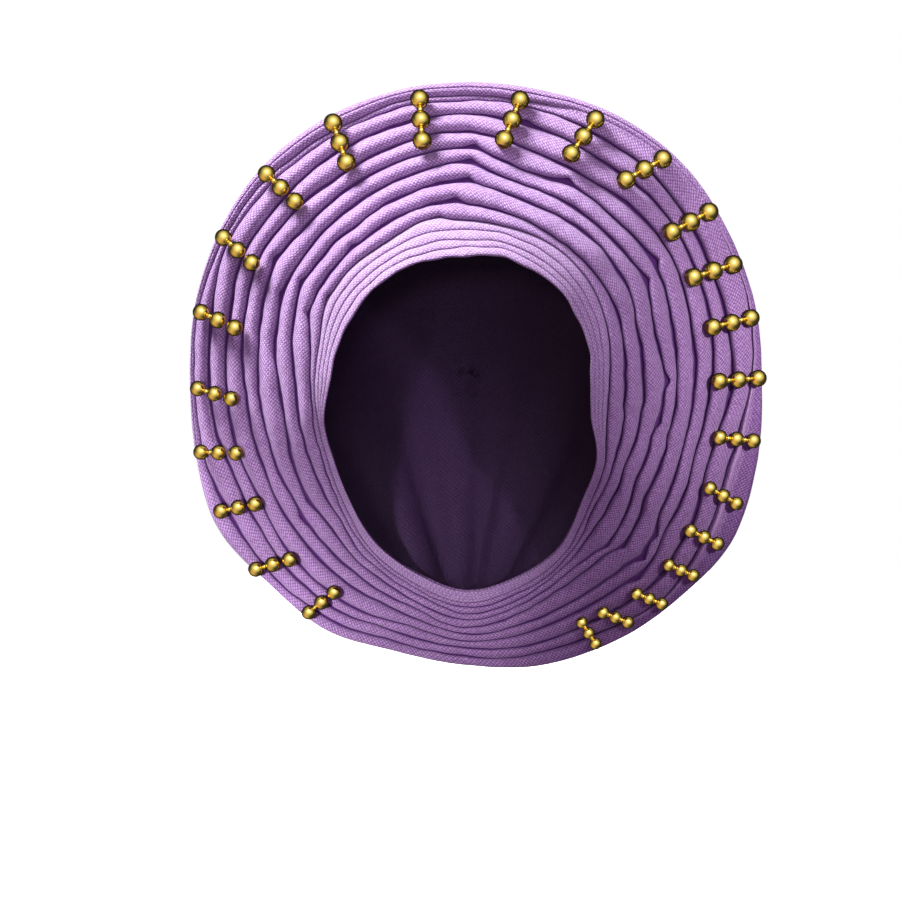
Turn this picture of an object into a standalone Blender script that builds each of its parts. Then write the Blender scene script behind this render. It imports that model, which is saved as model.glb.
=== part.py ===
"""A tied gele head tie: stiff lilac cloth pleated in rings round the face like an open fan,
with a fine folded band at the hairline, a plain crown over the back of the head, a tie at
the nape, and short bars of three gold beads sewn over the outer pleats.

Metres, +Z up, the front faces -Y. The origin is the top of the wearer's head. Places on the
fan are given as on a clock seen from the front: an angle, clockwise from twelve, and a
radius from CLOCK_CENTRE.
"""
import math

import bmesh
import bpy
from mathutils import Vector
from mathutils.bvhtree import BVHTree

MM = 0.001

# Driving dimensions, metres
CLOCK_CENTRE = Vector((-0.002, 0.0, -0.095))
CLOTH_THICKNESS = 0.0015
CROWN_THICKNESS = 0.002
TOUCHING_GAP = 0.0003
SECTIONS = 36               # cuts round the clock, the same for every ring of cloth
DISH_POWER = 1.3            # how soon the fan flattens on its way out to the rim

# The clock chart, millimetres, a column for every half hour. Radii of the rim, of the hem, of
# the creases between the pleats from the outside in, of the face band's folds and of the lip.
# Six o'clock is the nape, where the pleats are gathered close.
RADII_RIGHT = {
    # 12:00  12:30   1:00   1:30   2:00   2:30   3:00   3:30   4:00   4:30   5:00   5:30
    "rim": (149.5, 150.5, 153.0, 153.5, 151.0, 149.5, 148.0, 151.0, 155.0, 152.0, 149.5, 147.0),
    "hem": (144.0, 144.5, 147.0, 147.5, 145.5, 145.0, 142.0, 137.0, 142.5, 145.5, 142.0, 140.5),
    "c1":  (141.5, 141.0, 139.5, 138.5, 135.5, 133.5, 132.5, 127.5, 133.0, 137.5, 136.0, 135.5),
    "c2":  (133.5, 131.5, 129.5, 130.0, 128.0, 125.5, 122.0, 119.5, 122.5, 127.5, 127.5, 129.0),
    "c3":  (125.0, 120.0, 118.0, 120.0, 119.5, 115.5, 114.0, 112.5, 115.0, 120.0, 121.0, 124.0),
    "c4":  (117.5, 110.5, 110.5, 110.0, 110.0, 106.0, 105.0, 104.0, 106.0, 111.0, 114.0, 118.5),
    "c5":  (109.5, 103.5, 102.0, 101.5, 101.5, 97.0, 98.0, 96.0, 98.5, 105.0, 109.5, 114.5),
    "c6":  (100.5, 95.5, 94.5, 94.5, 92.5, 88.5, 88.0, 88.0, 90.0, 95.0, 105.0, 111.0),
    "c7":  (88.5, 86.0, 84.5, 83.5, 83.0, 80.5, 78.5, 80.5, 84.0, 89.5, 101.5, 108.0),
    "c8":  (81.0, 80.0, 80.0, 79.0, 76.5, 73.0, 70.5, 72.0, 79.5, 86.5, 98.5, 105.5),
    "f1":  (75.5, 76.0, 75.0, 74.0, 72.0, 69.5, 67.7, 69.8, 78.3, 85.3, 97.4, 104.2),
    "f2":  (70.5, 71.5, 71.0, 70.5, 69.0, 67.0, 65.5, 67.8, 77.2, 84.2, 96.4, 103.0),
    "f3":  (67.0, 68.5, 68.0, 67.5, 66.0, 65.0, 63.5, 66.0, 76.2, 83.2, 95.5, 102.0),
    "lip": (62.5, 64.5, 64.5, 65.0, 63.5, 63.0, 61.5, 64.3, 75.2, 82.3, 94.6, 101.0),
}
RADII_LEFT = {
    # 6:00   6:30   7:00   7:30   8:00   8:30   9:00   9:30  10:00  10:30  11:00  11:30
    "rim": (142.0, 139.5, 142.5, 141.0, 144.0, 140.0, 138.0, 140.5, 144.0, 147.5, 149.0, 149.5),
    "hem": (137.5, 134.5, 136.5, 136.5, 135.0, 135.5, 135.5, 138.0, 140.5, 141.5, 141.5, 143.0),
    "c1":  (133.5, 129.5, 130.5, 129.0, 124.5, 126.0, 128.0, 131.0, 137.5, 138.5, 139.0, 140.5),
    "c2":  (129.5, 125.0, 125.5, 122.5, 118.5, 118.5, 119.5, 122.0, 127.5, 129.0, 131.0, 132.5),
    "c3":  (126.0, 119.5, 116.5, 113.5, 110.5, 109.0, 110.0, 114.5, 119.5, 120.5, 120.5, 123.0),
    "c4":  (122.5, 115.0, 110.0, 106.0, 103.0, 102.5, 103.0, 106.0, 111.0, 111.5, 112.5, 115.0),
    "c5":  (119.0, 111.0, 104.5, 98.5, 95.5, 92.5, 92.5, 97.5, 101.5, 102.5, 104.5, 106.5),
    "c6":  (115.5, 107.5, 100.5, 92.0, 87.0, 85.0, 84.5, 89.0, 94.0, 95.0, 95.5, 98.5),
    "c7":  (112.5, 105.0, 97.5, 88.0, 81.5, 78.0, 77.0, 79.5, 86.0, 86.5, 87.5, 89.5),
    "c8":  (110.0, 103.0, 95.5, 85.5, 78.8, 75.8, 74.8, 75.0, 79.0, 80.0, 79.5, 82.0),
    "f1":  (108.4, 101.7, 94.4, 84.6, 78.0, 75.0, 73.0, 73.0, 75.5, 76.0, 75.5, 76.5),
    "f2":  (107.0, 100.5, 93.4, 83.8, 77.3, 74.3, 71.2, 70.8, 72.0, 72.0, 71.5, 71.5),
    "f3":  (105.8, 99.4, 92.5, 83.1, 76.6, 73.7, 69.4, 68.5, 68.5, 68.5, 68.0, 67.0),
    "lip": (104.6, 98.4, 91.6, 82.4, 76.0, 73.0, 67.5, 66.0, 65.0, 65.0, 64.5, 63.0),
}
# The same on both sides: how deep the lip and the rim lie, along Y, and the crown, which leaves
# the lip towards its lead and comes to its back tip from its tail
BOTH_SIDES = {
    #                 12:00  12:30  1:00 1:30 2:00 2:30 3:00 3:30 4:00 4:30 5:00 5:30 6:00
    "lip_depth":        (-80, -78.5, -76, -72, -66, -59, -51, -36, -15, 13, 39, 57, 66),
    "rim_depth":        (-40, -39, -37, -31, -22, -12, -2, 10, 22, 36, 50, 64, 72),
    "crown_lead":       (100, 99.5, 98, 94.5, 90, 84.5, 80, 80, 84, 92, 100, 104, 105),
    "crown_lead_depth": (-62, -61.5, -60, -57, -52, -47.5, -42, -26, -2, 26, 54, 72, 81),
    "crown_tail":       (137, 136.5, 134, 128, 120, 111, 105, 105, 108, 102, 92, 70, 50),
}
CHART = {row: RADII_RIGHT[row] + RADII_LEFT[row] for row in RADII_RIGHT}
CHART.update({row: half + half[-2:0:-1] for row, half in BOTH_SIDES.items()})
CHART_COLUMNS = 24
FAN_CREASES = ("rim", "hem", "c1", "c2", "c3", "c4", "c5", "c6", "c7", "c8")
BAND_CREASES = ("c8", "f1", "f2", "f3", "lip")

# One pleat of the fan, as shares of its width from its outer crease to its inner one. It
# rises out of the crease, runs over a rounded back and drops at the fold that faces the face.
VALLEY_SHARE = 0.06
SHOULDER_SHARE = 0.40
FOLD_SHARE = 0.91
FOLD_DROP = 0.15            # how much lower the fold lies than the shoulder, of the height
PLEAT_HEIGHT_RATIO = 0.55
PLEAT_FLAT_WIDTH = 0.0022   # a pleat gathered to this width lies flat
PLEAT_HEIGHT_MAX = 0.0045
LAST_FOLD_SHARE = 0.80      # the innermost fold drops more gently on to the face band
LAST_FOLD_STOP = 0.25       # and stops this much short of the dish

# The face band and the crown behind it
BAND_HEIGHT_RATIO = 0.30
BAND_SET_BACK = 0.0006      # the band lies this far behind the dish
BAND_SET_IN = 0.0004        # and starts this far inside the fan's last fold
CROWN_LAP = 0.0010          # the crown's edge lies this far outside the lip
CROWN_EDGE_GAP = 0.0005
CROWN_BACK = 0.100          # how far behind the origin the crown reaches
CROWN_STEPS = 7

# The tie at the nape
TIE_CENTRE = Vector((-0.002, 0.0848, -0.2215))
TIE_SIZE = Vector((0.052, 0.025, 0.040))
TIE_WAIST = 0.72

# Bars of three gold beads. Angles in degrees and radii in millimetres, of the outer and the
# inner bead, and the bead's diameter in millimetres.
BEAD_SIDES = 10
BEAD_RING_LATITUDES = (45, 0, -45)
NECK_RADIUS_SHARE = 0.26    # of a bead's radius
BAR_TABLE = (
    # outer_deg, inner_deg, outer_r, inner_r, bead
    (10.7, 8.8, 143.0, 122.1, 9.4),
    (26.0, 24.5, 145.7, 124.9, 9.3),
    (41.1, 38.0, 148.0, 128.1, 9.4),
    (54.6, 53.5, 147.8, 126.7, 9.5),
    (65.8, 64.8, 145.6, 124.7, 9.4),
    (76.8, 76.9, 145.6, 126.0, 8.8),
    (88.7, 89.2, 145.8, 126.1, 8.5),
    (101.0, 101.7, 146.3, 129.5, 7.6),
    (113.6, 112.9, 147.9, 132.6, 7.0),
    (122.2, 122.9, 149.3, 134.3, 7.0),
    (129.9, 131.5, 149.0, 136.4, 6.5),
    (138.1, 140.6, 147.9, 135.9, 6.4),
    (145.6, 148.8, 144.9, 134.0, 6.4),
    (153.3, 153.9, 146.0, 133.4, 6.1),
    (214.7, 212.6, 139.4, 124.0, 7.3),
    (228.8, 225.4, 140.5, 124.8, 7.8),
    (242.8, 240.6, 138.1, 121.4, 7.8),
    (255.8, 253.5, 136.8, 119.9, 7.7),
    (269.2, 266.6, 133.9, 117.2, 7.8),
    (285.3, 283.8, 136.7, 118.4, 8.4),
    (301.2, 299.6, 140.9, 122.2, 8.4),
    (316.5, 316.9, 143.7, 123.9, 8.7),
    (333.0, 331.6, 145.1, 124.5, 9.3),
    (350.7, 349.7, 142.9, 122.1, 9.4),
)

# Finish: base colour, roughness, metallic
LILAC = ((0.33, 0.17, 0.46), 0.75, 0.0)
PALE_LILAC = ((0.42, 0.24, 0.56), 0.75, 0.0)
PLAIN_LILAC = ((0.28, 0.14, 0.40), 0.80, 0.0)
GOLD = ((0.80, 0.58, 0.16), 0.22, 1.0)


def clear_scene():
    for thing in list(bpy.data.objects):
        bpy.data.objects.remove(thing, do_unlink=True)


def finish(name, look):
    colour, roughness, metallic = look
    material = bpy.data.materials.new(name)
    material.use_nodes = True
    shader = material.node_tree.nodes["Principled BSDF"]
    shader.inputs["Base Color"].default_value = (*colour, 1.0)
    shader.inputs["Roughness"].default_value = roughness
    shader.inputs["Metallic"].default_value = metallic
    return material


def chart(row, degrees):
    """A chart row's value in metres at any angle, on a smooth closed curve through its columns."""
    values = CHART[row]
    place = (degrees % 360.0) / 360.0 * CHART_COLUMNS
    first = int(place)
    step = place - first
    before, start, end, after = (values[(first + k) % CHART_COLUMNS] for k in (-1, 0, 1, 2))
    bend = (2.0 * before - 5.0 * start + 4.0 * end - after) * step ** 2
    twist = (3.0 * start - before - 3.0 * end + after) * step ** 3
    return MM * (start + 0.5 * ((end - before) * step + bend + twist))


def dish_depth(degrees, radius):
    """Depth along Y of the smooth dish that the pleats are laid on."""
    lip, rim = chart("lip", degrees), chart("rim", degrees)
    share = min(max((radius - lip) / (rim - lip), 0.0), 1.0)
    front, back = chart("lip_depth", degrees), chart("rim_depth", degrees)
    return front + (back - front) * (1.0 - (1.0 - share) ** DISH_POWER)


def wall_depth(degrees, radius, thickness):
    """A wall's thickness as measured along Y where the dish slopes."""
    step = math.radians(1.0)
    around = (dish_depth(degrees + 1.0, radius) - dish_depth(degrees - 1.0, radius)) / (2.0 * step * radius)
    outward = (dish_depth(degrees, radius + MM) - dish_depth(degrees, radius)) / MM
    return thickness * math.sqrt(1.0 + around ** 2 + outward ** 2)


def on_clock(degrees, radius, depth):
    turn = math.radians(degrees)
    return CLOCK_CENTRE + Vector((radius * math.sin(turn), depth, radius * math.cos(turn)))


def fan_section(degrees):
    """The fan's cut at one angle, from the rim in to its last fold."""
    radii = [chart(crease, degrees) for crease in FAN_CREASES]
    points = []
    for outer, inner in zip(radii, radii[1:]):
        width = outer - inner
        fold = LAST_FOLD_SHARE if inner == radii[-1] else FOLD_SHARE
        height = min(PLEAT_HEIGHT_MAX, PLEAT_HEIGHT_RATIO * max(width - PLEAT_FLAT_WIDTH, 0.0))
        cut = (
            (outer - VALLEY_SHARE * width if points else outer, 0.0),
            (outer - SHOULDER_SHARE * width, height),
            (outer - fold * width, height * (1.0 - FOLD_DROP)),
        )
        points += [(radius, dish_depth(degrees, radius) - rise) for radius, rise in cut]
    last = radii[-1]
    points.append((last, dish_depth(degrees, last) - LAST_FOLD_STOP * height))
    return [on_clock(degrees, radius, depth) for radius, depth in points]


def band_section(degrees):
    """The face band's cut at one angle: four fine folds down to the lip."""
    radii = [chart(crease, degrees) for crease in BAND_CREASES]
    radii[0] -= BAND_SET_IN
    points = [(radii[0], dish_depth(degrees, radii[0]) + BAND_SET_BACK)]
    for outer, inner in zip(radii, radii[1:]):
        middle = 0.5 * (outer + inner)
        height = BAND_HEIGHT_RATIO * max(outer - inner - CLOTH_THICKNESS, 0.0)
        points.append((middle, dish_depth(degrees, middle) + BAND_SET_BACK - height))
        points.append((inner, dish_depth(degrees, inner) + BAND_SET_BACK))
    return [on_clock(degrees, radius, depth) for radius, depth in points]


def crown_section(degrees):
    """The crown's cut at one angle, a Bezier curve from its edge towards its back tip."""
    edge = chart("lip", degrees) + CROWN_LAP
    front = dish_depth(degrees, edge) + BAND_SET_BACK + CROWN_EDGE_GAP
    front += wall_depth(degrees, edge, CLOTH_THICKNESS)
    guides = (
        Vector((edge, front)),
        Vector((chart("crown_lead", degrees), chart("crown_lead_depth", degrees))),
        Vector((chart("crown_tail", degrees), CROWN_BACK)),
        Vector((0.0, CROWN_BACK)),
    )
    points = []
    for k in range(CROWN_STEPS):
        t = k / CROWN_STEPS
        shares = ((1 - t) ** 3, 3 * t * (1 - t) ** 2, 3 * t ** 2 * (1 - t), t ** 3)
        radius, depth = sum((guide * share for guide, share in zip(guides, shares)), Vector((0.0, 0.0)))
        points.append(on_clock(degrees, radius, depth))
    return points


def ring_of_cloth(name, section, thickness, look, collection, pole=None):
    """Lofts equal cuts round the clock and gives the sheet its wall behind or inside it."""
    build = bmesh.new()
    rows = [[build.verts.new(p) for p in section(360.0 * k / SECTIONS)] for k in range(SECTIONS)]
    for row, following in zip(rows, rows[1:] + rows[:1]):
        for k in range(len(row) - 1):
            corners = [row[k], row[k + 1], following[k + 1], following[k]]
            build.faces.new(corners[::-1] if pole else corners)
    if pole:
        tip = build.verts.new(pole)
        for row, following in zip(rows, rows[1:] + rows[:1]):
            build.faces.new((following[-1], tip, row[-1]))
    mesh = bpy.data.meshes.new(name)
    build.to_mesh(mesh)
    build.free()
    sheet = bpy.data.objects.new(name, mesh)
    collection.objects.link(sheet)
    mesh.materials.append(finish(name, look))
    wall = sheet.modifiers.new("Wall", "SOLIDIFY")
    wall.thickness = thickness
    wall.offset = -1.0
    wall.use_even_offset = True
    return sheet


def nape_tie(collection):
    """The gathered ends, tied: a plain soft roll, drawn in at its middle."""
    bpy.ops.mesh.primitive_cube_add(size=1.0, location=TIE_CENTRE)
    tie = bpy.context.object
    tie.name = tie.data.name = "nape_tie"
    build = bmesh.new()
    build.from_mesh(tie.data)
    bmesh.ops.subdivide_edges(build, edges=build.edges[:], cuts=1, use_grid_fill=True)
    for vert in build.verts:
        if abs(vert.co.x) < 0.1:
            vert.co.y *= TIE_WAIST
            vert.co.z *= TIE_WAIST
        vert.co = Vector(a * b for a, b in zip(vert.co, TIE_SIZE))
    build.to_mesh(tie.data)
    build.free()
    soft = tie.modifiers.new("Soft", "SUBSURF")
    soft.levels = soft.render_levels = 1
    tie.data.materials.append(finish("nape_tie", PLAIN_LILAC))
    for home in list(tie.users_collection):
        home.objects.unlink(tie)
    collection.objects.link(tie)
    return tie


def seat_depth(surface, place, bead_radius):
    """How far forward a bead's centre lies when the bead rests on the pleats."""
    depth = math.inf
    for reach in (0.0, 0.25, 0.5, 0.75, 0.95):
        for k in range(16):
            turn = math.tau * k / 16
            across = reach * bead_radius
            start = Vector((place.x + across * math.cos(turn), -1.0, place.z + across * math.sin(turn)))
            hit = surface.ray_cast(start, Vector((0.0, 1.0, 0.0)))[0]
            if hit:
                depth = min(depth, hit.y - math.sqrt(bead_radius ** 2 - across ** 2))
    return depth - TOUCHING_GAP


def bead_profile(bead_radius, pitch):
    """Half the outline of three beads in a row, joined by short waists, from top to bottom."""
    points = [(0.0, pitch + bead_radius)]
    for bead in (1, 0, -1):
        if bead < 1:
            points.append((NECK_RADIUS_SHARE * bead_radius, (bead + 0.5) * pitch))
        for latitude in BEAD_RING_LATITUDES:
            turn = math.radians(latitude)
            points.append((bead_radius * math.cos(turn), bead * pitch + bead_radius * math.sin(turn)))
    points.append((0.0, -pitch - bead_radius))
    return points


def bead_bar(name, surface, row, look, collection):
    outer_deg, inner_deg, outer_r, inner_r, bead = row
    bead_radius = 0.5 * bead * MM
    outer = on_clock(outer_deg, outer_r * MM, 0.0)
    inner = on_clock(inner_deg, inner_r * MM, 0.0)
    middle = 0.5 * (outer + inner)
    outer.y, middle.y, inner.y = (seat_depth(surface, p, bead_radius) for p in (outer, middle, inner))
    clear = min(0.0, middle.y - 0.5 * (outer.y + inner.y))
    outer.y += clear
    inner.y += clear
    axis = outer - inner

    points = bead_profile(bead_radius, 0.5 * axis.length)
    mesh = bpy.data.meshes.new(name)
    mesh.from_pydata([(x, 0.0, z) for x, z in points], [(k, k + 1) for k in range(len(points) - 1)], [])
    mesh.materials.append(look)
    bar = bpy.data.objects.new(name, mesh)
    collection.objects.link(bar)
    bar.location = 0.5 * (outer + inner)
    bar.rotation_mode = "QUATERNION"
    bar.rotation_quaternion = axis.to_track_quat("Z", "Y")
    turned = bar.modifiers.new("Turned", "SCREW")
    turned.steps = turned.render_steps = BEAD_SIDES
    turned.use_merge_vertices = True
    turned.merge_threshold = 0.00001
    turned.use_smooth_shade = True
    return bar


clear_scene()
gele = bpy.data.collections.new("tied_gele_head_tie")
bpy.context.scene.collection.children.link(gele)

fan = ring_of_cloth("pleated_fan", fan_section, CLOTH_THICKNESS, LILAC, gele)
ring_of_cloth("face_band", band_section, CLOTH_THICKNESS, PALE_LILAC, gele)
crown_tip = CLOCK_CENTRE + Vector((0.0, CROWN_BACK, 0.0))
ring_of_cloth("crown_cap", crown_section, CROWN_THICKNESS, PLAIN_LILAC, gele, crown_tip)
nape_tie(gele)

bpy.context.view_layer.update()
pleats = BVHTree.FromObject(fan, bpy.context.evaluated_depsgraph_get())
gold = finish("gold_beads", GOLD)
for number, row in enumerate(BAR_TABLE, 1):
    bead_bar(f"bead_bar_{number:02d}", pleats, row, gold, gele)
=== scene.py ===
"""The looks of the tied gele head tie: lilac woven cloth pleated in rings round the face, a fine
folded band at the hairline, the crown and the tie behind, and bars of gold beads.

Metres, +Z up, the front faces -Y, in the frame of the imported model. Places on the fan are
given as on a clock seen from the front: degrees clockwise from twelve, and a radius.
"""
import math

import bmesh
import bpy
import numpy as np
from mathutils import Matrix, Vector


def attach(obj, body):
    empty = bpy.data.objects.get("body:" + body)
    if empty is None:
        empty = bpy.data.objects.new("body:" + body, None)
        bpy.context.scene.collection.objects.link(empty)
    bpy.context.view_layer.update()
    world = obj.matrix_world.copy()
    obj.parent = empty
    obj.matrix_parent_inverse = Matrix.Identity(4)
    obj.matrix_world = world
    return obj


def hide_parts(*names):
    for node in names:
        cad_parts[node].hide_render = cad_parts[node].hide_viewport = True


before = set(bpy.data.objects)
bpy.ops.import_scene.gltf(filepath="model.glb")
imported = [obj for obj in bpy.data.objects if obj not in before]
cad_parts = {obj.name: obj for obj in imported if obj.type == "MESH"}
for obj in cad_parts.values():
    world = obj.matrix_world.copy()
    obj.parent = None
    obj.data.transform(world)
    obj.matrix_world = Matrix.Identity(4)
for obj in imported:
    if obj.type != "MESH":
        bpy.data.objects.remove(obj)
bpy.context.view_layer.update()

# The pleated fan
# One length of stiff lilac cloth, laid in eight rings of pleats round the face and a hem at
# the rim. Each pleat is a soft roll whose inner fold lies over the next pleat.

MM = 0.001
CLOCK_CENTRE = np.array([-0.002, 0.0, -0.095])
DISH_POWER = 1.3

# Radii in millimetres, a column for every half hour from twelve to half past five
RADII_RIGHT = {
    "rim": (149.5, 150.5, 153.0, 153.5, 151.0, 149.5, 148.0, 151.0, 155.0, 152.0, 149.5, 147.0),
    "hem": (143.0, 144.0, 147.5, 149.5, 147.5, 146.0, 142.0, 137.0, 141.0, 145.5, 142.0, 140.5),
    "c1":  (140.5, 140.5, 139.5, 138.5, 135.5, 133.5, 132.5, 127.5, 131.5, 136.5, 135.5, 135.5),
    "c2":  (133.5, 131.5, 129.5, 130.0, 128.0, 125.5, 122.0, 119.5, 122.5, 127.5, 127.5, 129.0),
    "c3":  (124.5, 120.0, 118.0, 120.0, 119.5, 115.5, 114.0, 112.5, 115.0, 120.0, 121.0, 124.0),
    "c4":  (115.5, 109.5, 110.5, 110.0, 110.0, 106.0, 105.0, 104.0, 105.5, 110.0, 111.5, 118.0),
    "c5":  (108.0, 102.5, 102.0, 101.5, 101.5, 97.0, 98.0, 96.0, 98.0, 104.5, 107.5, 114.0),
    "c6":  (99.0, 95.0, 94.5, 94.5, 92.5, 88.5, 88.0, 88.0, 90.0, 95.0, 103.5, 111.0),
    "c7":  (88.5, 86.0, 84.5, 83.5, 83.0, 80.5, 78.5, 80.5, 84.0, 89.5, 101.5, 108.0),
    "c8":  (80.0, 79.5, 80.0, 79.0, 76.5, 73.0, 70.5, 72.0, 79.5, 86.5, 98.5, 105.5),
    "f1":  (75.5, 76.0, 75.0, 74.0, 72.0, 69.5, 67.7, 69.8, 78.3, 85.3, 97.4, 104.2),
    "f2":  (70.5, 71.5, 71.0, 70.5, 69.0, 67.0, 65.5, 67.8, 77.2, 84.2, 96.4, 103.0),
    "f3":  (67.0, 68.5, 68.0, 67.5, 66.0, 65.0, 63.5, 66.0, 76.2, 83.2, 95.5, 102.0),
    "lip": (62.5, 64.5, 64.5, 65.0, 63.5, 63.0, 61.5, 64.3, 75.2, 82.3, 94.6, 101.0),
}
# and from six to half past eleven
RADII_LEFT = {
    "rim": (142.0, 139.5, 142.5, 141.0, 144.0, 140.0, 138.0, 140.5, 144.0, 147.5, 149.0, 149.5),
    "hem": (137.5, 134.5, 136.5, 136.5, 135.0, 135.5, 135.5, 138.0, 140.5, 141.5, 141.5, 143.0),
    "c1":  (133.5, 129.5, 130.5, 129.0, 124.5, 126.0, 128.0, 131.0, 137.5, 138.5, 139.0, 140.5),
    "c2":  (129.5, 125.0, 125.5, 122.5, 118.5, 118.5, 119.5, 122.0, 127.5, 129.0, 131.0, 132.5),
    "c3":  (126.0, 119.5, 116.5, 113.5, 110.5, 109.0, 110.0, 114.5, 119.5, 120.5, 120.5, 123.0),
    "c4":  (122.5, 115.0, 110.0, 106.0, 103.0, 102.5, 103.0, 106.0, 111.0, 111.5, 112.5, 115.0),
    "c5":  (119.0, 111.0, 104.5, 98.5, 95.5, 92.5, 92.5, 97.5, 101.5, 102.5, 104.5, 106.5),
    "c6":  (115.5, 107.5, 100.5, 92.0, 87.0, 85.0, 84.5, 89.0, 94.0, 95.0, 95.5, 98.5),
    "c7":  (112.5, 105.0, 97.5, 88.0, 81.5, 78.0, 77.0, 79.5, 86.0, 86.5, 87.5, 89.5),
    "c8":  (110.0, 103.0, 95.5, 85.5, 78.8, 75.8, 74.8, 75.0, 79.0, 80.0, 79.5, 82.0),
    "f1":  (108.4, 101.7, 94.4, 84.6, 78.0, 75.0, 73.0, 73.0, 75.5, 76.0, 75.5, 76.5),
    "f2":  (107.0, 100.5, 93.4, 83.8, 77.3, 74.3, 71.2, 70.8, 72.0, 72.0, 71.5, 71.5),
    "f3":  (105.8, 99.4, 92.5, 83.1, 76.6, 73.7, 69.4, 68.5, 68.5, 68.5, 68.0, 67.0),
    "lip": (104.6, 98.4, 91.6, 82.4, 76.0, 73.0, 67.5, 66.0, 65.0, 65.0, 64.5, 63.0),
}
# Depths along Y, in millimetres, the same on both sides, from twelve down to six
DEPTHS = {
    "lip_depth": (-80, -78.5, -76, -72, -66, -59, -51, -36, -15, 13, 39, 57, 66),
    "rim_depth": (-40, -39, -37, -31, -22, -12, -2, 10, 22, 36, 50, 64, 72),
}
CHART = {row: RADII_RIGHT[row] + RADII_LEFT[row] for row in RADII_RIGHT}
CHART.update({row: half + half[-2:0:-1] for row, half in DEPTHS.items()})


def on_chart(row, degrees):
    """A chart row in metres at each of these angles, on a smooth closed curve."""
    values = np.array(CHART[row], float)
    place = (degrees % 360.0) / 15.0
    first = np.floor(place).astype(int)
    step = place - first
    before, start, end, after = (values[(first + k) % 24] for k in (-1, 0, 1, 2))
    bend = (2.0 * before - 5.0 * start + 4.0 * end - after) * step ** 2
    twist = (3.0 * start - before - 3.0 * end + after) * step ** 3
    return MM * (start + 0.5 * ((end - before) * step + bend + twist))


def dish_depth(degrees, radius):
    """Depth along Y of the smooth dish that the pleats are laid on."""
    lip, rim = on_chart("lip", degrees), on_chart("rim", degrees)
    share = np.clip((radius - lip) / (rim - lip), 0.0, 1.0)
    front, back = on_chart("lip_depth", degrees), on_chart("rim_depth", degrees)
    return front + (back - front) * (1.0 - (1.0 - share) ** DISH_POWER)


def on_clock(degrees, radius, depth):
    turn = np.radians(degrees)
    places = np.stack([radius * np.sin(turn), depth, radius * np.cos(turn)], axis=-1)
    return places + CLOCK_CENTRE


def wander(degrees, slowest, quickest, seed):
    """A smooth wave round the clock, about -1 to 1, of so many swings a turn."""
    chance = np.random.default_rng(seed)
    swings = np.arange(slowest, quickest + 1)
    strengths = chance.normal(size=len(swings)) / math.sqrt(len(swings))
    starts = chance.uniform(0.0, math.tau, len(swings))
    turns = np.radians(degrees)[..., None] * swings + starts
    return (np.cos(turns) * strengths).sum(axis=-1)


def past_place(degrees, place):
    """How many degrees past a place on the clock, from -180 to 180."""
    return (degrees - place + 180.0) % 360.0 - 180.0


def between(degrees, start, end, soft):
    """1 between two angles and 0 outside, with soft ends."""
    middle, half = 0.5 * (start + end), 0.5 * (end - start)
    away = np.abs(past_place(degrees, middle))
    rise = np.clip((half + soft - away) / soft, 0.0, 1.0)
    return rise * rise * (3.0 - 2.0 * rise)


# Kinks: the crease, its place in degrees, how far the fold over it stands off the next pleat
# and how far the crease peaks there, in millimetres. The crease falls off fast past the kink.
KINKS = (
    ("c2", 13.0, 1.9, 0.4),
    ("c3", 1.5, 0.2, 0.6),
    ("c4", 2.0, 2.0, 1.5),
    ("c5", 1.2, 1.8, 1.4),
    ("c6", 0.7, 1.7, 1.1),
    ("c7", 356.7, 1.2, 1.1),
    ("c8", 351.0, 0.6, 1.0),
    ("c4", 26.5, 2.2, 0.5),
    ("c4", 57.0, 2.0, 0.6),
    ("c5", 60.0, 1.7, 0.6),
    ("c5", 89.0, 2.2, 0.8),
    ("c5", 101.0, 1.8, 0.8),
    ("c3", 128.0, 2.2, 0.8),
    ("c3", 134.2, 2.6, 2.8),
    ("c4", 135.5, 1.6, 2.3),
    ("c2", 138.4, 1.4, 1.1),
    ("c5", 138.5, 0.8, 1.8),
    ("c1", 133.6, 0.6, 0.5),
    ("c4", 303.5, 1.6, 0.4),
    ("c6", 302.0, 1.6, 0.4),
    ("c8", 302.0, 1.2, 0.3),
    ("c5", 296.0, 1.2, 0.5),
    ("c7", 294.0, 1.2, 0.8),
    ("c5", 234.0, 0.9, 0.3),
    ("c4", 231.5, 1.3, 0.3),
    ("c7", 320.5, 1.5, 0.4),
)

FAN_CREASES = ("rim", "hem", "c1", "c2", "c3", "c4", "c5", "c6", "c7", "c8")
FAN_CUTS = 480
# One pleat, cut across: shares of its width from its outer crease, and of its height
PLEAT_CUT = (
    (0.000, 0.00), (0.012, 0.20), (0.040, 0.37), (0.095, 0.52), (0.175, 0.65), (0.280, 0.78),
    (0.400, 0.89), (0.520, 0.965), (0.640, 1.00), (0.750, 0.98), (0.850, 0.89), (0.930, 0.71),
    (0.982, 0.46), (1.000, 0.22), (0.985, 0.00),
)
HEM_CUT = (
    (0.000, 0.12), (0.010, 0.32), (0.045, 0.50), (0.120, 0.65), (0.230, 0.78), (0.340, 0.88),
    (0.400, 0.92), (0.440, 0.94), (0.480, 0.96), (0.560, 0.99), (0.680, 1.00), (0.780, 0.96),
    (0.830, 0.92), (0.880, 0.84), (0.930, 0.71), (0.982, 0.44), (1.000, 0.20), (0.985, 0.00),
)
BACK_CUT = ((0.10, 0.55), (0.30, 0.95), (0.50, 1.00), (0.70, 0.95), (0.90, 0.55), (1.00, 0.00))
PLEAT_HEIGHT_RATIO = 0.60
PLEAT_FLAT_WIDTH = 0.0022
PLEAT_HEIGHT_MAX = 0.0050
PLEAT_LEAN = 0.32
CREASE_SINK = 0.0014
CREASE_GAP = 0.0010
CREASE_GAP_SHARE = 0.13
CLOTH_THICKNESS = 0.0015
BACK_RIB_HEIGHT = 0.0020
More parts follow.
